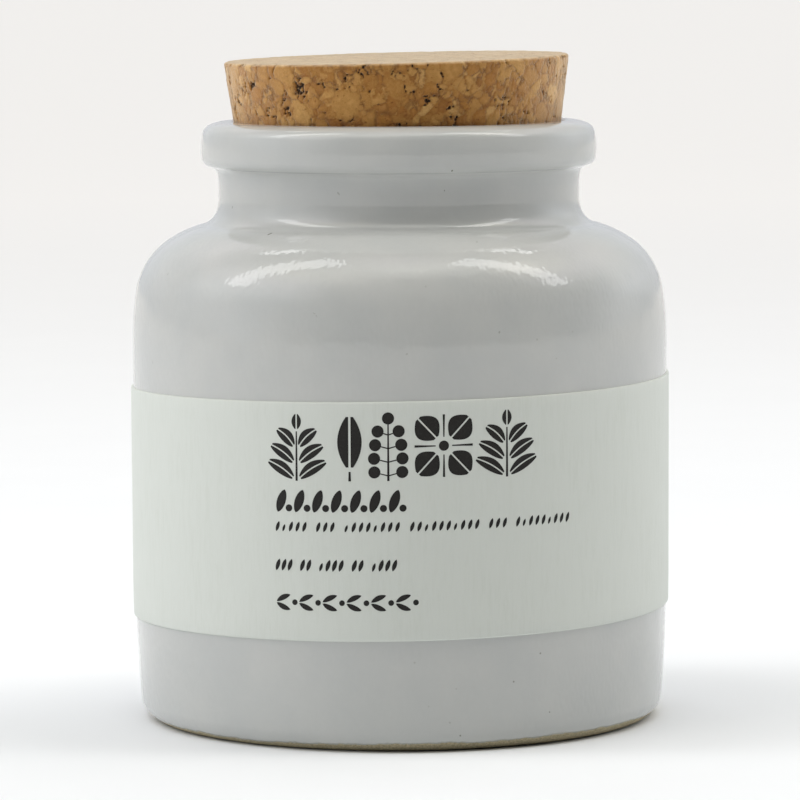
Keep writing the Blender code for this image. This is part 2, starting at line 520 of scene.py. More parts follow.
def foot_refined(outline):
    """The outline with closer rows round the foot's outer edge, where the glaze ends."""
    inside = BODY_RADIUS - FINE_FOOT_WIDTH
    foot = [point for point in outline if point.x > inside and point.y < FINE_FOOT_HEIGHT]
    start = outline.index(foot[0])
    return outline[:start] + with_rows(foot, FINE_FOOT_SPACING) + outline[start + len(foot):]


def make_jar():
    """The stoneware. Each point knows how far it is above the glaze's end."""
    outline = foot_refined(with_rows(jar_outline(), JAR_ROW_SPACING))
    draft = Draft()
    rings = []
    edge = []
    for point in outline[1:-1]:
        circle = on_circle(point.x, point.y, JAR_SIDES)
        angles = np.arctan2(circle[:, 0], -circle[:, 1])
        above = np.clip(point.y - glaze_line(angles), -GLAZE_EDGE_REACH, GLAZE_EDGE_REACH)
        if point.x < BODY_RADIUS - UNDERSIDE_INSET and point.y < UNDERSIDE_HEIGHT:
            above = np.full(JAR_SIDES, -GLAZE_EDGE_REACH)
        elif point.y > GLAZE_STEP_LOWEST:
            inset = GLAZE_STEP * np.clip(0.5 - above / GLAZE_STEP_WIDTH, 0.0, 1.0)
            circle[:, :2] *= (1.0 - inset / point.x)[:, None]
        rings.append(draft.ring(circle))
        edge.extend(above)
    draft.skin(rings)
    draft.fan(rings[0], (0.0, 0.0, outline[0].y), upwards=False)
    draft.fan(rings[-1], (0.0, 0.0, outline[-1].y))
    edge += [-GLAZE_EDGE_REACH, GLAZE_EDGE_REACH]
    mesh = draft.mesh("glazed_jar")
    add_attribute(mesh, "glaze_edge", edge)
    add_piece(mesh, glaze_material(), "jar")


# Specks in the glaze: angle round the jar, height, length, width, turn and darkness. Angles are in degrees.
GLAZE_SPECKS = (
    (-18.9, 81.0, 0.85, 0.3, -35, 0.36),
    (15.3, 84.4, 0.38, 0.34, 0, 1.0),
    (14.1, 81.4, 0.3, 0.26, -60, 0.7),
    (-65.2, 78.3, 0.5, 0.24, 80, 0.9),
    (-38.7, 75.0, 0.62, 0.32, 10, 1.0),
    (-17.9, 64.3, 0.55, 0.15, -25, 0.25),
    (-17.4, 63.9, 0.45, 0.15, -65, 0.25),
    (-62.3, 68.8, 0.44, 0.22, 75, 0.35),
    (-65.0, 55.6, 0.75, 0.2, 85, 0.25),
    (20.9, 61.4, 0.42, 0.34, 75, 0.36),
    (29.5, 60.1, 0.36, 0.34, 0, 0.25),
    (34.2, 57.2, 0.34, 0.3, 0, 0.16),
    (38.6, 61.0, 0.42, 0.4, 0, 0.12),
    (5.6, 68.2, 0.36, 0.34, 0, 0.14),
    (1.4, 58.5, 0.4, 0.3, 40, 0.23),
    (20.2, 74.1, 0.56, 0.24, 25, 0.2),
    (66.7, 74.9, 0.6, 0.24, -25, 0.5),
    (30.2, 14.0, 0.36, 0.32, 90, 0.58),
    (24.0, 10.1, 0.36, 0.32, 0, 0.59),
    (2.7, 13.5, 0.36, 0.34, 0, 0.25),
    (32.9, 5.1, 0.34, 0.32, 0, 0.45),
    (10.1, 4.5, 0.38, 0.28, -40, 0.3),
    (12.4, 2.5, 0.34, 0.3, 0, 0.7),
    (5.6, 7.0, 0.32, 0.28, 0, 0.2),
    (11.4, 9.5, 0.36, 0.3, 0, 0.15),
    (96.0, 70.2, 0.44, 0.3, 30, 0.35),
    (121.0, 58.9, 0.34, 0.3, 0, 0.3),
    (148.0, 80.6, 0.5, 0.26, -20, 0.4),
    (163.0, 64.0, 0.36, 0.34, 0, 0.2),
    (-104.0, 61.5, 0.36, 0.32, 0, 0.3),
    (-133.0, 73.2, 0.6, 0.26, 15, 0.3),
    (-158.0, 56.4, 0.4, 0.3, 60, 0.4),
    (-171.0, 68.6, 0.32, 0.3, 0, 0.25),
    (104.0, 9.4, 0.36, 0.32, 0, 0.5),
    (139.0, 6.1, 0.4, 0.3, -30, 0.4),
    (-95.0, 12.2, 0.36, 0.3, 0, 0.4),
    (-149.0, 8.0, 0.44, 0.28, 45, 0.5),
)
SPECK_SIDES = 12
SPECK_DARKEST = (0.15, 0.15, 0.115)

# A speck's rings, from below: share of its size, and lift off the glaze.
SPECK_RINGS = ((1.0, -0.02), (0.85, 0.004), (0.5, 0.01))
OUTSIDE_RADIUS = NECK_RADIUS - 0.5
OUTSIDE_HEIGHT = 0.2


def on_wall(outline, angle, height, lift):
    """The point at an angle and height of the jar's outside, lifted off the glaze."""
    outside = [point for point in outline if point.x > OUTSIDE_RADIUS and point.y > OUTSIDE_HEIGHT]
    radius = float(np.interp(height, [point.y for point in outside], [point.x for point in outside])) + lift
    return radius * math.sin(angle), -radius * math.cos(angle), height


def speck_material():
    """Dark iron specks under the gloss of the glaze."""
    material, tree, shader = new_material("glaze_specks")
    tone = noise_value(tree, place(tree), 0.15, 2.0)
    uneven = remap(tree, tone, 0.3, 0.7, 0.75, 1.25)
    strength = calculate(tree, "MULTIPLY", attribute(tree, "darkness"), uneven)
    colour = blend(tree, strength, GLAZE, SPECK_DARKEST)
    connect(tree, shader, Base_Color=colour, Roughness=0.15)
    return material


def speck_ring(outline, speck, share, lift):
    """A speck's oval at a share of its size, lifted off the glaze."""
    angle, height, length, width, turn, _ = speck
    turned = Matrix.Rotation(math.radians(turn), 2)
    ring = []
    for side in range(SPECK_SIDES):
        around = math.tau * side / SPECK_SIDES
        oval = Vector((length / 2 * math.cos(around), width / 2 * math.sin(around)))
        offset = turned @ oval * share
        aside = math.radians(angle) + offset.x / BODY_RADIUS
        ring.append(on_wall(outline, aside, height + offset.y, lift))
    return ring


def make_specks(outline):
    """Each speck is a tiny flat lens on the glaze."""
    draft = Draft()
    darkness = []
    bottom_lift = SPECK_RINGS[0][1]
    top_lift = SPECK_RINGS[-1][1]
    for speck in GLAZE_SPECKS:
        rings = [draft.ring(speck_ring(outline, speck, share, lift)) for share, lift in SPECK_RINGS]
        draft.skin(rings)
        angle = math.radians(speck[0])
        height = speck[1]
        draft.fan(rings[-1], on_wall(outline, angle, height, top_lift))
        draft.fan(rings[0], on_wall(outline, angle, height, bottom_lift), upwards=False)
        darkness.extend([speck[-1]] * (len(draft.points) - len(darkness)))
    mesh = draft.mesh("glaze_specks")
    add_attribute(mesh, "darkness", darkness)
    add_piece(mesh, speck_material())


# The cork


CORK_COLUMNS = 960
CORK_FEWEST_COLUMNS = 30
CORK_ROW = 0.17
CORK_TOP_RING = 0.38
CORK_TOP_CELL_SHAPE = 0.66
CORK_EDGE_ROUNDING = 0.45
CORK_EDGE_ROWS = 4

# Inside the mouth the cork has few rows, up to just below the rim.
CORK_FOOT_ROW = 4.0
CORK_HIDDEN_ROW = 2.2
CORK_FINE_FROM = 1.0

# Sizes of granules: spacing, least growth and most growth. What bends their seams: pace and reach.
GRANULE_SIZES = ((5.2, 1.0, 2.0), (3.3, 0.4, 1.1), (2.1, 0.1, 0.6), (1.35, 0.0, 0.5))
GRANULE_WANDERINGS = ((0.5, 0.7), (1.6, 0.28), (4.5, 0.09))
GRANULE_CANDIDATES = 44
GRANULE_LONGEST = 2.0
GRANULE_MARGIN = 2.0
GRANULE_REACH = CORK_MOUTH_RADIUS + 3.5
CORK_SEED = 41

# The relief: uneven levels, rounded seams, and voids, which are gaps in seams and pits between granules.
LEVEL_STEP = 0.07
LEVEL_SHARE_ON_TOP = 0.3
SEAM_REACH = 0.5
SEAM_ROUNDING = 0.3
SEAM_DEPTH = 0.05
VOID_DEPTH = 0.55
WIDEST_GAP = 0.12
GAP_BLUR = 0.08
WIDEST_PIT = 0.2
PIT_BLUR = 0.12
CORK_EDGE_WEAR = 0.16

CORK_LIGHT = Vector((0.545, 0.300, 0.087))
CORK_PALE = Vector((0.620, 0.376, 0.137))
CORK_MIDDLE = Vector((0.447, 0.220, 0.052))
CORK_DARK = Vector((0.343, 0.144, 0.0275))
CORK_RUST = Vector((0.409, 0.177, 0.033))
# Painted sheen: the cork is made lighter where it faces left or right, and tinted pale on its top.
CORK_SIDES_PAINTED_SHEEN = 0.28
CORK_TOP_PAINTED_SHEEN = Vector((0.865, 0.720, 0.485))
CORK_TOP_PAINTED_SHEEN_SHARE = 0.65
STRIPE_PACE = 12.0
STRIPE_BEND = 2.5

# A granule's colour lies between two, in the first row whose number is above the draw.
GRANULE_TINTS = (
    (0.42, CORK_MIDDLE, CORK_LIGHT),
    (0.68, CORK_MIDDLE, CORK_DARK),
    (0.9, CORK_MIDDLE, CORK_RUST),
    (1.0, CORK_LIGHT, CORK_PALE),
)


def cork_rows():
    """The cork's half section as rows of (radius, height, share of facing up, columns), from its foot."""
    top = JAR_HEIGHT + CORK_PROUD
    bottom = top - CORK_HEIGHT
    slope = math.tan(math.radians(CORK_TAPER_DEG))
    side = [(bottom, 4), (bottom + CORK_FOOT_ROW, 4), (JAR_HEIGHT - CORK_HIDDEN_ROW, 2)]
    fine = math.ceil((CORK_PROUD + CORK_FINE_FROM) / CORK_ROW)
    side += [(z, 1) for z in np.linspace(JAR_HEIGHT - CORK_FINE_FROM, top - CORK_EDGE_ROUNDING, fine)]
    rows = []
    for height, coarser in side:
        radius = CORK_MOUTH_RADIUS + (height - JAR_HEIGHT) * slope
        rows.append((radius, height, 0.0, CORK_COLUMNS // coarser))
    edge = rows[-1][0]
    for step in range(1, CORK_EDGE_ROWS + 1):
        share = step / CORK_EDGE_ROWS
        angle = share * math.pi / 2
        inward = CORK_EDGE_ROUNDING * (1 - math.cos(angle))
        height = top - CORK_EDGE_ROUNDING * (1 - math.sin(angle))
        rows.append((edge - inward, height, share, CORK_COLUMNS))
    radius = rows[-1][0]
    narrowest = CORK_TOP_CELL_SHAPE * CORK_TOP_RING
    while radius > 2 * CORK_TOP_RING:
        radius -= CORK_TOP_RING
        columns = CORK_COLUMNS // 2
        while columns > CORK_FEWEST_COLUMNS and math.tau * radius / columns < narrowest:
            columns //= 2
        rows.append((radius, top, 1.0, columns))
    return rows


class Granules:
    """Cork granules packed in a block: uneven cells, some large and drawn out, some small."""

    def __init__(self, seed):
        randomly = random.Random(seed)
        # Without a seed, noise_vector would follow the clock.
        noise.seed_set(seed)
        self.centres = []
        self.growth = []
        for spacing, least, most in GRANULE_SIZES:
            for centre in self.scattered(randomly, spacing):
                self.centres.append(centre)
                self.growth.append(randomly.uniform(least, most))
        count = len(self.centres)
        self.tints = [self.tint(randomly) for _ in range(count)]
        self.levels = [randomly.uniform(0.0, LEVEL_STEP) for _ in range(count)]
        self.striped = [max(0.0, randomly.uniform(-0.2, 0.08)) for _ in range(count)]
        self.axes = [self.direction(randomly) for _ in range(count)]
        self.squash = [1.0 - 1.0 / randomly.uniform(1.0, GRANULE_LONGEST) ** 2 for _ in range(count)]
        self.tree = kdtree.KDTree(count)
        for number, centre in enumerate(self.centres):
            self.tree.insert(centre, number)
        self.tree.balance()

    @staticmethod
    def scattered(randomly, spacing):
        """Points spread evenly at random through a block that holds the cork."""
        low = JAR_HEIGHT + CORK_PROUD - CORK_HEIGHT - GRANULE_MARGIN
        high = JAR_HEIGHT + CORK_PROUD + GRANULE_MARGIN
        count = round(math.pi * GRANULE_REACH**2 * (high - low) / spacing**3)
        for _ in range(count):
            angle = randomly.uniform(0.0, math.tau)
            radius = GRANULE_REACH * math.sqrt(randomly.random())
            yield Vector((radius * math.cos(angle), radius * math.sin(angle), randomly.uniform(low, high)))

    @staticmethod
    def direction(randomly):
        return Vector([randomly.gauss(0.0, 1.0) for _ in range(3)]).normalized()

    @staticmethod
    def tint(randomly):
        """A granule's colour: mostly tan, some pale, some dark or rusty."""
        draw = randomly.random()
        start, end = next((start, end) for limit, start, end in GRANULE_TINTS if draw < limit)
        return start.lerp(end, randomly.random())

    def at(self, spot):
        """What the block is at a spot: its granule, and how far the seam and the next junction are."""
        warped = spot.copy()
        for pace, reach in GRANULE_WANDERINGS:
            warped += noise.noise_vector(spot * pace) * reach
        reached = []
        for centre, number, distance in self.tree.find_n(warped, GRANULE_CANDIDATES):
            along = (warped - centre).dot(self.axes[number])
            stretched = math.sqrt(max(0.0, distance * distance - self.squash[number] * along * along))
            reached.append((stretched - self.growth[number], number))
        reached.sort()
        owner = reached[0][1]
        seam = (reached[1][0] - reached[0][0]) / 2
        junction = (reached[2][0] - reached[0][0]) / 2
        return owner, seam, junction


def cork_void(spot, seam, junction, upward):
    """How open the cork is at a spot, from 0 to 1: in gaps of seams, and in pits where granules meet."""
    ragged = noise.noise(spot * 3.1)
    openness = noise.noise(spot * 0.45 + Vector((7.0, 3.0, 1.0))) + 0.6 * ragged
    gap = min(WIDEST_GAP, max(0.0, openness - 0.5) * 0.5)
    crumbling = noise.noise(spot * 0.5 + Vector((1.0, 9.0, 4.0))) + 0.7 * ragged
    pit = min(WIDEST_PIT, max(0.0, 0.5 * crumbling - 0.22))
    void = max((gap - seam) / GAP_BLUR, (pit - junction) / PIT_BLUR)
    return min(1.0, max(0.0, void)) * (1.0 - 0.5 * upward)


def cork_colour(granules, owner, spot, upward):
    """A granule's colour at a spot: faintly striped, with painted sheen that lightens it at the left and
    right sides and tints the top pale.
    """
    phase = spot.dot(granules.axes[owner]) * STRIPE_PACE + STRIPE_BEND * noise.noise(spot * 0.5)
    # Painted sheen: lighter the more the spot faces left or right, and tinted pale where it faces up.
    aside = spot.x * spot.x / (spot.x * spot.x + spot.y * spot.y)
    painted_sheen = 1.0 + CORK_SIDES_PAINTED_SHEEN * aside * aside
    colour = granules.tints[owner] * (painted_sheen + granules.striped[owner] * math.sin(phase))
    return tuple(colour.lerp(CORK_TOP_PAINTED_SHEEN, CORK_TOP_PAINTED_SHEEN_SHARE * upward))


def cork_surface(granules, spot, upward):
    """The surface of the cork at a spot: its depth below the plain shape, colour, seam and void."""
    owner, seam, junction = granules.at(spot)
    void = cork_void(spot, seam, junction, upward)
    round_off = max(0.0, 1.0 - seam / SEAM_ROUNDING) ** 2
    level = granules.levels[owner] * (1.0 - (1.0 - LEVEL_SHARE_ON_TOP) * upward)
    depth = level + SEAM_DEPTH * round_off + VOID_DEPTH * void
    if 0.0 < upward < 1.0:
        depth += CORK_EDGE_WEAR * max(0.0, noise.noise(spot * 0.9) + 0.3)
    return depth, cork_colour(granules, owner, spot, upward), min(seam, SEAM_REACH), void


def make_cork():
    """The cork, with its granules, seams and voids as relief, pushed in a little askew."""
    draft = Draft()
    granules = Granules(CORK_SEED)
    slope = math.radians(CORK_TAPER_DEG)
    rings = []
    colours = []
    seams = []
    voids = []
    for radius, height, upward, columns in cork_rows():
        tilt = upward * math.pi / 2 - (1.0 - upward) * slope
        ring = []
        for x, y, z in on_circle(radius, height, columns):
            spot = Vector((x, y, z))
            outward = Vector((x, y, 0.0)).normalized() * math.cos(tilt)
            outward.z = math.sin(tilt)
            depth, colour, seam, void = cork_surface(granules, spot, upward)
            ring.append(spot - outward * depth)
            colours.append(colour)
            seams.append(seam)
            voids.append(void)
        rings.append(draft.ring(ring))
    draft.skin(rings)
    for ring, upwards in ((rings[-1], True), (rings[0], False)):
        middle = sum(draft.points[point][2] for point in ring) / len(ring)
        draft.fan(ring, (0.0, 0.0, middle), upwards)
        colours.append(colours[ring[0]])
        seams.append(SEAM_REACH)
        voids.append(0.0)
    mesh = draft.mesh("pressed_cork")
    add_attribute(mesh, "granules", colours)
    add_attribute(mesh, "seam", seams)
    add_attribute(mesh, "void", voids)
    pivot = Vector((0.0, 0.0, (JAR_HEIGHT - CORK_HEIGHT / 4) * MM))
    lean = Euler((math.radians(CORK_NOD_DEG), -math.radians(CORK_LEAN_DEG), 0.0)).to_matrix().to_4x4()
    mesh.transform(Matrix.Translation(pivot) @ lean @ Matrix.Translation(-pivot))
    add_piece(mesh, cork_material(), "cork")


# The label and its print


LABEL_STATIONS = 501
LABEL_ROWS = 24
LABEL_BACK_ROWS = 4
LABEL_EDGE_ROUNDING = 0.28
LABEL_EDGE_TURNS_DEG = (30, 60, 90)
LABEL_SUNK = 0.04
LABEL_SHARP_DEG = 40


def label_rise(angle):
    """How far the label has climbed at an angle, because it is wound at a slant."""
    return BODY_RADIUS * math.tan(math.radians(LABEL_SLANT_DEG)) * angle


def label_section():
    """The paper's cross section as a loop of (distance up from its lower edge, lift off the glaze)."""
    face = []
    for row in range(LABEL_ROWS + 1):
        across = LABEL_EDGE_ROUNDING + row / LABEL_ROWS * (LABEL_HEIGHT - 2 * LABEL_EDGE_ROUNDING)
        face.append((across, LABEL_RELIEF))
    lower_edge = []
    for turn in map(math.radians, LABEL_EDGE_TURNS_DEG):
        relief = LABEL_RELIEF - LABEL_EDGE_ROUNDING * (1 - math.cos(turn))
        lower_edge.append((LABEL_EDGE_ROUNDING * (1 - math.sin(turn)), relief))
    upper_edge = [(LABEL_HEIGHT - across, relief) for across, relief in lower_edge]
    back_rows = range(LABEL_BACK_ROWS + 1)
    back = [(LABEL_HEIGHT * (1 - row / LABEL_BACK_ROWS), -LABEL_SUNK) for row in back_rows]
    return face + upper_edge + back + lower_edge[::-1]


def make_label(outline):
    """The paper band, with rounded edges, lying on the glaze."""
    draft = Draft()
    end = math.radians(LABEL_END_ANGLE_DEG)
    section = label_section()
    loops = []
    for angle in np.linspace(-end, end, LABEL_STATIONS):
        bottom = LABEL_BOTTOM + label_rise(angle)
        outward = Vector((math.sin(angle), -math.cos(angle)))
        ring = []
        for across, relief in section:
            radius = wall_radius(outline, bottom + across) + relief
            ring.append((outward.x * radius, outward.y * radius, bottom + across))
        loops.append(draft.ring(ring))
    for left, right in zip(loops, loops[1:]):
        draft.bridge(right, left)
    draft.faces.append(tuple(loops[0]))
    draft.faces.append(tuple(reversed(loops[-1])))
    mesh = draft.mesh("paper_label")
    mesh.set_sharp_from_angle(angle=math.radians(LABEL_SHARP_DEG))
    add_piece(mesh, paper_material(), "label")


# The ink stands proud of the paper and is sunk into it, and it is cut across so that it can bend.
PRINT_RADIUS = 41.0
PRINT_PROUD = 0.02
PRINT_SUNK = 0.05
PRINT_CUT = 1.0
CUT_REACH = 0.0005

# Places on the label are to the right of the front and up from the lower edge. A motif has a left end and a
# width.
TITLE_BOTTOM = 23.5
TITLE_HEIGHT = 9.9
TITLE_PLACES = ((-20.3, 9.7), (-9.5, 4.2), (-4.7, 5.9), (1.7, 9.3), (10.8, 10.2))

# Left end, right end, bottom, height and how often the row repeats.
POD_ROW = (-18.8, 1.1, 18.9, 3.3, 7)
LEAF_ROW = (-18.9, 2.75, 4.7, 2.4, 6)

# Left end, bottom, height, pitch, and the count of grains in each group. Every fourth grain is short.
GRAIN_ROWS = (
    (-18.8, 16.05, 1.5, 1.065, (5, 3, 8, 10, 3, 9)),
    (-18.85, 10.3, 1.75, 0.98, (3, 2, 4, 2, 4)),
)
SHORT_GRAIN = 0.72


def leaf(start, end, width, bend=0.0, side=0, slit=0.0, fullness=0.85, steps=16):
    """A leaf's outline from its foot to its tip. With a side of 1 or -1 it is the half beside a slit."""
    start, end = Vector(start), Vector(end)
    across = Vector((start.y - end.y, end.x - start.x)).normalized()
    shares = [step / steps for step in range(steps + 1)]
    middle = [start.lerp(end, share) + across * bend * math.sin(math.pi * share) for share in shares]
    swell = [width / 2 * math.sin(math.pi * min(1.0, share)) ** fullness for share in shares]
    left = [point + across * reach for point, reach in zip(middle, swell)]
    right = [point - across * reach for point, reach in zip(middle, swell)]
    if side == 0:
        return left + right[-2:0:-1]
    outer = left if side > 0 else right
    kept = [i for i in range(len(shares)) if swell[i] > slit]
    inner = [middle[i] + across * side * slit / 2 for i in kept]
    return [outer[i] for i in kept] + inner[::-1]


def split_leaf(start, end, width, bend=0.0, slit=0.22, fullness=0.85):
    """A leaf as two halves with a bare vein between them."""
    return [leaf(start, end, width, bend, side, slit, fullness) for side in (1, -1)]


def stem(points, foot_width, tip_width):
    """A tapering stroke through the points."""
    points = [Vector(point) for point in points]
    left, right = [], []
    for i, point in enumerate(points):
        ahead = points[min(i + 1, len(points) - 1)] - points[max(i - 1, 0)]
        across = Vector((-ahead.y, ahead.x)).normalized()
        reach = foot_width + (tip_width - foot_width) * i / (len(points) - 1)
        left.append(point + across * reach / 2)
        right.append(point - across * reach / 2)
    return left + right[::-1]


def disc(centre, radius, sides=24):
    x, y = centre
    turns = [math.tau * side / sides for side in range(sides)]
    return [Vector((x + radius * math.cos(turn), y + radius * math.sin(turn))) for turn in turns]


def mirrored(shapes, middle):
    """The shapes and their mirror images beyond an upright line."""
    images = [[Vector((2 * middle - point.x, point.y)) for point in shape] for shape in shapes]
    return shapes + images


def sprig(width, height):
    """A stalk with split leaves in pairs and one at its tip."""
    middle = width / 2
    side = []
    for level, reach in ((0.03, 0.98), (0.265, 0.88), (0.5, 0.66)):
        foot = Vector((middle - 0.32, level * height))
        tip = Vector((middle * (1.0 - reach), foot.y + 0.27 * height))
        side += split_leaf(foot, tip, 0.185 * height, -0.03 * height, slit=0.2, fullness=0.66)
    shapes = [stem([(middle, 0.0), (middle, 0.4 * height), (middle, 0.73 * height)], 0.34, 0.2)]
    shapes += split_leaf((middle, 0.75 * height), (middle, height), 0.15 * height, fullness=0.7)
    return shapes + mirrored(side, middle)


def pod(width, height):
    """One upright split leaf on a short stalk."""
    middle = width / 2
    return [
        stem([(middle, 0.0), (middle, 0.07 * height), (middle, 0.14 * height)], 0.4, 0.3),
        *split_leaf((middle, 0.15 * height), (middle, height), 0.86 * width, slit=0.34, fullness=0.75),
    ]


def seed_spray(width, height):
    """Seeds on either side of a stalk."""
    middle = width / 2
    seed = 0.15 * width
    shapes = [stem([(middle, 0.0), (middle, 0.4 * height), (middle, 0.84 * height)], 0.34, 0.2)]
    shapes.append(disc((middle, 0.92 * height), seed))
    side = []
    for level, reach in ((0.13, 0.98), (0.33, 1.0), (0.53, 0.92), (0.73, 0.74)):
        centre = Vector((middle - reach * (middle - seed), level * height))
        fork = Vector((middle - 0.12, centre.y - 0.05 * height))
        meeting = centre.lerp(fork, seed / (fork - centre).length)
        side += [disc(centre, seed), stem([fork, meeting], 0.18, 0.16)]
    return shapes + mirrored(side, middle)


def flower(width, height):
    """Four broad split petals round a seed, with a stamen between each two."""
    centre = Vector((width / 2, height / 2))
    shapes = [disc(centre, 0.08 * width)]
    for quarter in range(4):
        petal = math.radians(45.0 + 90.0 * quarter)
        away = Vector((math.cos(petal) * width, math.sin(petal) * height))
        shapes += split_leaf(centre + away * 0.14, centre + away * 0.6, 0.42 * width, slit=0.24)
        gap = math.radians(90.0 * quarter)
        away = Vector((math.cos(gap) * width, math.sin(gap) * height))
        shapes.append(stem([centre + away * 0.13, centre + away * 0.3, centre + away * 0.46], 0.16, 0.34))
    return shapes


def moved(shapes, u, v):
    return [[Vector((point.x + u, point.y + v)) for point in shape] for shape in shapes]


def title_shapes():
    """Five plant motifs, as wide as the five parts of the printed row that they stand for."""
    motifs = (sprig, pod, seed_spray, flower, sprig)
    shapes = []
    for motif, (left, width) in zip(motifs, TITLE_PLACES):
        shapes += moved(motif(width, TITLE_HEIGHT), left, TITLE_BOTTOM)
    return shapes


def pod_row_shapes():
    """A bold row of slanting pods with a seed after each."""
    left, right, bottom, height, count = POD_ROW
    pitch = (right - left) / count
    shapes = []
    for number in range(count):
        u = left + pitch * number
        shapes.append(leaf((u + 0.3, bottom), (u + 1.45, bottom + height), 1.4, fullness=0.6))
        shapes.append(disc((u + 2.1, bottom + 0.62), 0.52))
    return shapes


def grain_row_shapes():
    """Fine rows of slanting grains, grouped with gaps."""
    shapes = []
    for left, bottom, height, pitch, groups in GRAIN_ROWS:
        u = left
        for group in groups:
            for number in range(group):
                tall = height * (1.0 if (number * 3 + group) % 4 else SHORT_GRAIN)
                tip = (u + 0.34 * tall, bottom + tall)
                shapes.append(leaf((u, bottom), tip, 0.36 * tall, fullness=0.7, steps=8))
                u += pitch
            u += pitch
    return shapes


def leaf_row_shapes():
    """A row of pairs of leaves with a seed after each."""
    left, right, bottom, height, count = LEAF_ROW
    pitch = (right - left) / count
    shapes = []
    for number in range(count):
        u = left + pitch * number
        middle = bottom + height * 0.42
        for side in (-1, 1):
            start = (u + 0.1, middle + side * 0.1)
            end = (u + 0.64 * pitch, middle + side * 0.46 * height)
            shapes.append(leaf(start, end, 0.78, side * 0.1, fullness=0.7, steps=12))
        shapes.append(disc((u + 0.84 * pitch, middle), 0.42))
    return shapes


def on_label(outline, u, v, lift):
    """The point of the label's face at a place of the print."""
    angle = u / PRINT_RADIUS
    height = LABEL_BOTTOM + label_rise(angle) + v
    radius = wall_radius(outline, height) + LABEL_RELIEF + lift
    return Vector((math.sin(angle) * radius, -math.cos(angle) * radius, height))


def make_print(name, shapes, outline, material):
    """Flat shapes as thin solids of ink that follow the label's curve."""
    bm = bmesh.new()
    for shape in shapes:
        bm.faces.new([bm.verts.new((point.x, point.y, 0.0)) for point in shape])
    bmesh.ops.triangulate(bm, faces=bm.faces[:])
    lowest = min(vert.co.x for vert in bm.verts)
    highest = max(vert.co.x for vert in bm.verts)
    rightwards = (1.0, 0.0, 0.0)
    for cut in np.arange(lowest + PRINT_CUT, highest, PRINT_CUT):
        parts = bm.verts[:] + bm.edges[:] + bm.faces[:]
        middle = (cut, 0.0, 0.0)
        bmesh.ops.bisect_plane(bm, geom=parts, dist=CUT_REACH, plane_co=middle, plane_no=rightwards)
    under = set(bm.verts)
    bmesh.ops.extrude_face_region(bm, geom=bm.faces[:], use_keep_orig=True)
    for vert in bm.verts:
        vert.co.z = 0.0 if vert in under else PRINT_CUT
    bmesh.ops.recalc_face_normals(bm, faces=bm.faces[:])
    for vert in bm.verts:
        lift = -PRINT_SUNK if vert in under else PRINT_PROUD
        vert.co = on_label(outline, vert.co.x, vert.co.y, lift) * MM
    mesh = bpy.data.meshes.new(name)
    bm.to_mesh(mesh)
    bm.free()
    add_piece(mesh, material)


def make_prints(outline):
    ink = ink_material()
    make_print("print_motifs", title_shapes(), outline, ink)
    make_print("print_pods", pod_row_shapes(), outline, ink)
    make_print("print_grains", grain_row_shapes(), outline, ink)
    make_print("print_leaves", leaf_row_shapes(), outline, ink)


# The floor, the light and the camera


CAMERA_DISTANCE = 765.0
CAMERA_AIM_HEIGHT = 48.1
CAMERA_PITCH_DEG = 5.305
CAMERA_ROLL_DEG = -0.3
CAMERA_FOCAL_PX = 5010.0
PICTURE_PX = 800
SENSOR_WIDTH = 36.0
NEAREST_SEEN_M = 0.01
FURTHEST_SEEN_M = 50.0


def make_camera():
    """The photograph's view: from the front, a little above, through a long lens."""
    pitch = math.radians(CAMERA_PITCH_DEG)
    offset = Vector((0.0, -math.cos(pitch), math.sin(pitch))) * CAMERA_DISTANCE
    place_at = (Vector((0.0, 0.0, CAMERA_AIM_HEIGHT)) + offset) * MM
    data = bpy.data.cameras.new("camera")
    data.sensor_width = SENSOR_WIDTH
    data.lens = CAMERA_FOCAL_PX / PICTURE_PX * SENSOR_WIDTH
    data.clip_start = NEAREST_SEEN_M
    data.clip_end = FURTHEST_SEEN_M
    camera = bpy.data.objects.new("camera", data)
    aim = Matrix.Rotation(math.pi / 2 - pitch, 4, "X")
    roll = Matrix.Rotation(math.radians(CAMERA_ROLL_DEG), 4, "Z")
    camera.matrix_world = Matrix.Translation(place_at) @ aim @ roll
    bpy.context.scene.collection.objects.link(camera)
    bpy.context.scene.camera = camera


# The floor goes from two close shades near the jar to a lighter one far away, painted light where the lamps
# don't reach.
FLOOR_RADII = (20000.0, 2000.0, 200.0)
FLOOR_SIDES = 96
FLOOR_SHADES = (0.83, 0.85, 0.87), (0.85, 0.87, 0.89)
FLOOR_FAR_PAINTED_LIGHT = (0.96, 0.96, 0.96)
FLOOR_NEAR_REACH = 300.0
FLOOR_FAR_FROM = 1500.0


def floor_material():
    material, tree, shader = new_material("pale_floor")
    point = place(tree)
    colour = blend(tree, noise_value(tree, point, 40.0, 2.0), *FLOOR_SHADES)
    away = node(tree, "ShaderNodeVectorMath", {0: point}, operation="LENGTH").outputs["Value"]
    # Painted light: lighter far from the jar, where the lamps don't reach.
    colour = blend(tree, remap(tree, away, FLOOR_NEAR_REACH, FLOOR_FAR_FROM), colour, FLOOR_FAR_PAINTED_LIGHT)
    connect(tree, shader, Base_Color=colour, Roughness=0.9, Specular_IOR_Level=0.1)
    return material


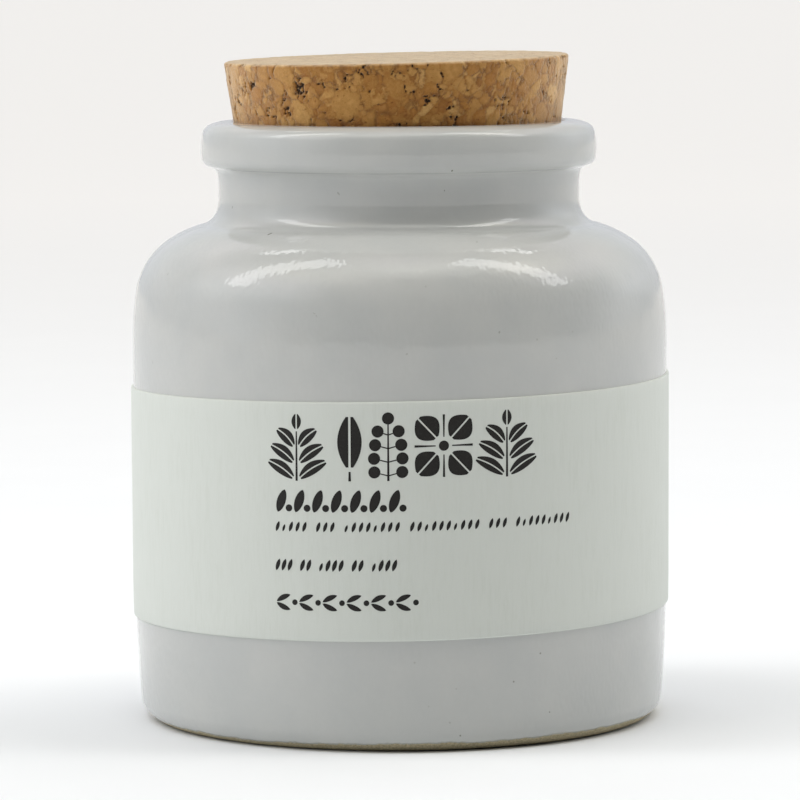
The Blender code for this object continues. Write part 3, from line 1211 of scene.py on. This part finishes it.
def make_floor():
    """A wide floor under the jar."""
    draft = Draft()
    rings = [draft.ring(on_circle(radius, 0.0, FLOOR_SIDES)) for radius in FLOOR_RADII]
    draft.skin(rings)
    draft.fan(rings[-1], (0.0, 0.0, 0.0))
    mesh = draft.mesh("floor")
    mesh.materials.append(floor_material())
    floor = bpy.data.objects.new("floor", mesh)
    bpy.context.scene.collection.objects.link(floor)
    floor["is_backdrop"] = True


# The light tent's brightness, fitted to how light the photographed glaze and paper are. A row has its height
# in degrees, its tint, and levels from the back round by the left, the camera and the right.
TENT = (
    (0, (0.964, 0.993, 1.043), (0.62, 0.65, 0.65, 0.56, 0.47, 0.46, 0.59, 1.28, 0.67, 0.0, 0.0, 0.0,
                                0.0, 0.0, 0.0, 0.0, 0.0, 0.0, 0.39, 1.04, 0.76, 0.56, 0.72, 0.59)),
    (12, (0.946, 0.987, 1.067), (0.86, 0.75, 0.52, 1.11, 0.62, 0.0, 0.0, 0.0, 0.0, 0.25, 1.6, 0.76)),
    (26, (0.962, 1.002, 1.035), (0.94, 0.84, 0.6, 2.21, 1.71, 0.0, 0.0, 0.0, 0.0, 0.49, 1.49, 0.91)),
    (40, (1.02, 0.972, 1.007), (0.89, 1.31, 0.87, 2.46, 2.22, 0.0, 0.0, 0.0, 0.0, 1.84, 1.83, 1.14)),
    (56, (1.079, 1.029, 0.892), (0.0, 0.1, 0.22, 1.55, 1.99, 1.25, 0.0, 0.0, 0.32, 3.14, 1.13, 0.0)),
    (73, (1.024, 1.026, 0.95), (0.0, 0.21, 1.34, 2.62, 2.4, 0.58)),
    (90, (1.056, 0.96, 0.984), (1.35,)),
)
TENT_BRIGHTEST = 3.6

# Lamps: name, place to the right and to the back, length, width and turn in degrees. Places and sizes are
# shares of their height above the shoulder.
LAMP_HEIGHT = 600.0
SHOULDER_HEIGHT = 70.0
LAMP_RADIANCE = 3.25
LAMPS = (
    ("front_lamp_left", (-0.75, -0.06), 0.98, 0.25, 6.0),
    ("outer_lamp_left", (-1.46, -0.14), 0.44, 0.36, 6.0),
    ("back_lamp_left", (-0.29, 0.5), 0.46, 0.13, 0.0),
    ("front_lamp_right", (0.75, -0.09), 0.98, 0.25, -6.0),
    ("outer_lamp_right", (1.49, -0.20), 0.44, 0.36, -6.0),
    ("back_lamp_right", (0.29, 0.5), 0.46, 0.13, 0.0),
)


def tent_band(tree, turn, tint, levels):
    """The light round one height of the tent, blended between its levels."""
    ramp = node(tree, "ShaderNodeValToRGB", {0: turn})
    stops = ramp.color_ramp.elements
    ring = [*levels, levels[0]]
    while len(stops) < len(ring):
        stops.new(0.5)
    for number, stop in enumerate(stops):
        stop.position = number / (len(ring) - 1)
    for stop, level in zip(stops, ring):
        share = level / TENT_BRIGHTEST
        stop.color = (*(share * channel for channel in tint), 1.0)
    return ramp.outputs[0]


def make_tent():
    """A light tent as the world: bright at the sides and above, dark towards the camera."""
    world = bpy.data.worlds.new("light_tent")
    world.use_nodes = True
    bpy.context.scene.world = world
    tree = world.node_tree
    direction = node(tree, "ShaderNodeTexCoord").outputs["Generated"]
    parts = node(tree, "ShaderNodeSeparateXYZ", {0: direction}).outputs
    towards_camera = calculate(tree, "MULTIPLY", parts[1], -1.0)
    azimuth = calculate(tree, "ARCTAN2", parts[0], towards_camera)
    turn = remap(tree, azimuth, -math.pi, math.pi)
    height = calculate(tree, "ARCSINE", parts[2])
    below, tint, levels = TENT[0]
    light = tent_band(tree, turn, tint, levels)
    for degrees, tint, levels in TENT[1:]:
        climb = remap(tree, height, math.radians(below), math.radians(degrees))
        light = blend(tree, climb, light, tent_band(tree, turn, tint, levels))
        below = degrees
    background = tree.nodes["Background"]
    tree.links.new(light, background.inputs["Color"])
    background.inputs["Strength"].default_value = TENT_BRIGHTEST


def make_lamp(name, centre, length, width, turn):
    """A long soft lamp under the tent's ceiling, facing down."""
    across, back = centre
    data = bpy.data.lights.new(name, "AREA")
    data.shape = "RECTANGLE"
    data.size = length * LAMP_HEIGHT * MM
    data.size_y = width * LAMP_HEIGHT * MM
    data.energy = LAMP_RADIANCE * math.pi * data.size * data.size_y
    lamp = bpy.data.objects.new(name, data)
    lamp.location = Vector((across * LAMP_HEIGHT, back * LAMP_HEIGHT, LAMP_HEIGHT + SHOULDER_HEIGHT)) * MM
    lamp.rotation_euler.z = math.radians(turn)
    bpy.context.scene.collection.objects.link(lamp)


def make_lights():
    """The tent, and the lamps whose streaks the glaze mirrors."""
    make_tent()
    for lamp in LAMPS:
        make_lamp(*lamp)


def write_sizes():
    """Works out the CAD box and the visual model's box as lists of numbers, which are then not kept."""
    boxes = {"cad": CAD_BOX, "visual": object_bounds()}
    plain = {name: [[float(value) for value in corner] for corner in box] for name, box in boxes.items()}


scene = bpy.context.scene
scene.view_settings.view_transform = "Standard"
scene.view_settings.look = "None"

make_jar()
make_specks(jar_outline())
make_cork()
make_label(jar_outline())
make_prints(jar_outline())
make_floor()
make_lights()
make_camera()
write_sizes()
